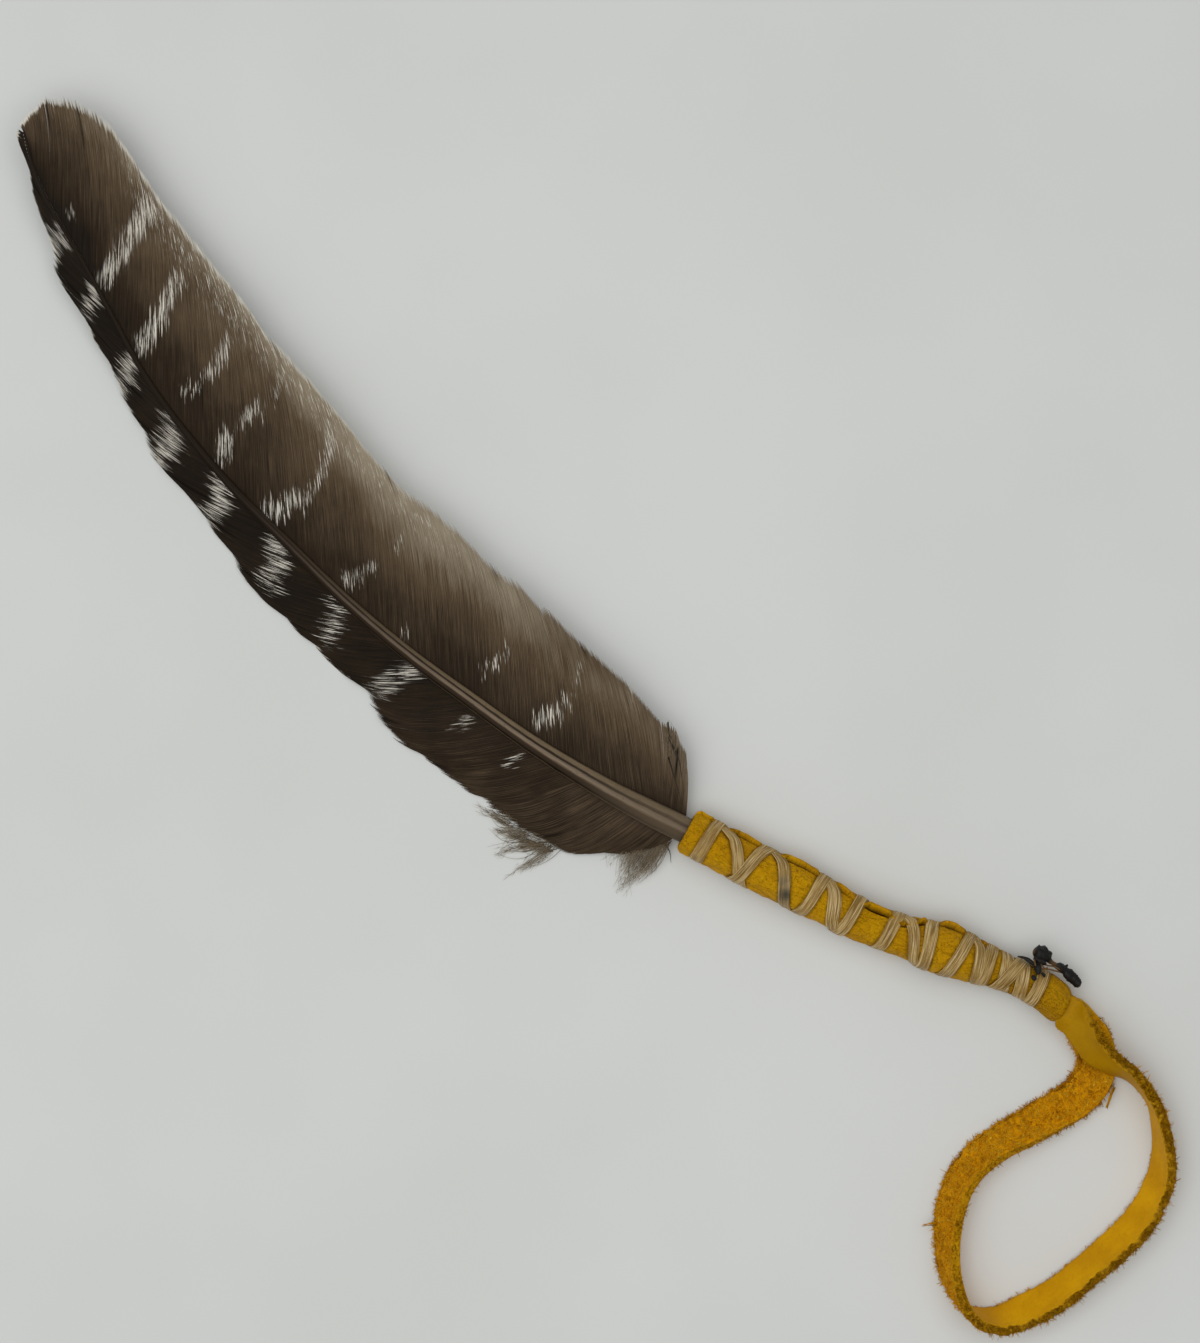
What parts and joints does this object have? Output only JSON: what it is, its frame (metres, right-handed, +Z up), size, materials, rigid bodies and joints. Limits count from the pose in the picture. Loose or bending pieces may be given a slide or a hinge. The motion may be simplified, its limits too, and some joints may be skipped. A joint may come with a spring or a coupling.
{
  "type": "turkey wing feather",
  "caption": "Curved, barred wing feather lying underside up, its quill in a leather grip cross-laced with flat sinew, with a strap loop for the wrist.",
  "frame": {"origin": "on the surface the feather lies on, under the middle of the grip, where two turns of the lacing cross", "axes": "+X from the feather's tip towards the wrist loop, +Y towards the broad vane, +Z up, the side that shows the shaft's groove"},
  "size_m": [0.391, 0.0902, 0.0136],
  "materials": {
    "feather": "satin brown-grey keratin with pale bars",
    "hide": "soft gold-dyed deerskin, smooth side out",
    "strap_hide": "gold-dyed deerskin, smooth on one side and napped on the other",
    "sinew": "waxed flat fibre, slight sheen",
    "burnt_sinew": "charred and melted, half gloss"
  },
  "bodies": {
    "root": {"feather": "feather", "leather_wrap": "hide", "sinew_lacing": "sinew", "burnt_ends": "burnt_sinew", "leather_loop": "strap_hide"}
  },
  "joints": []
}
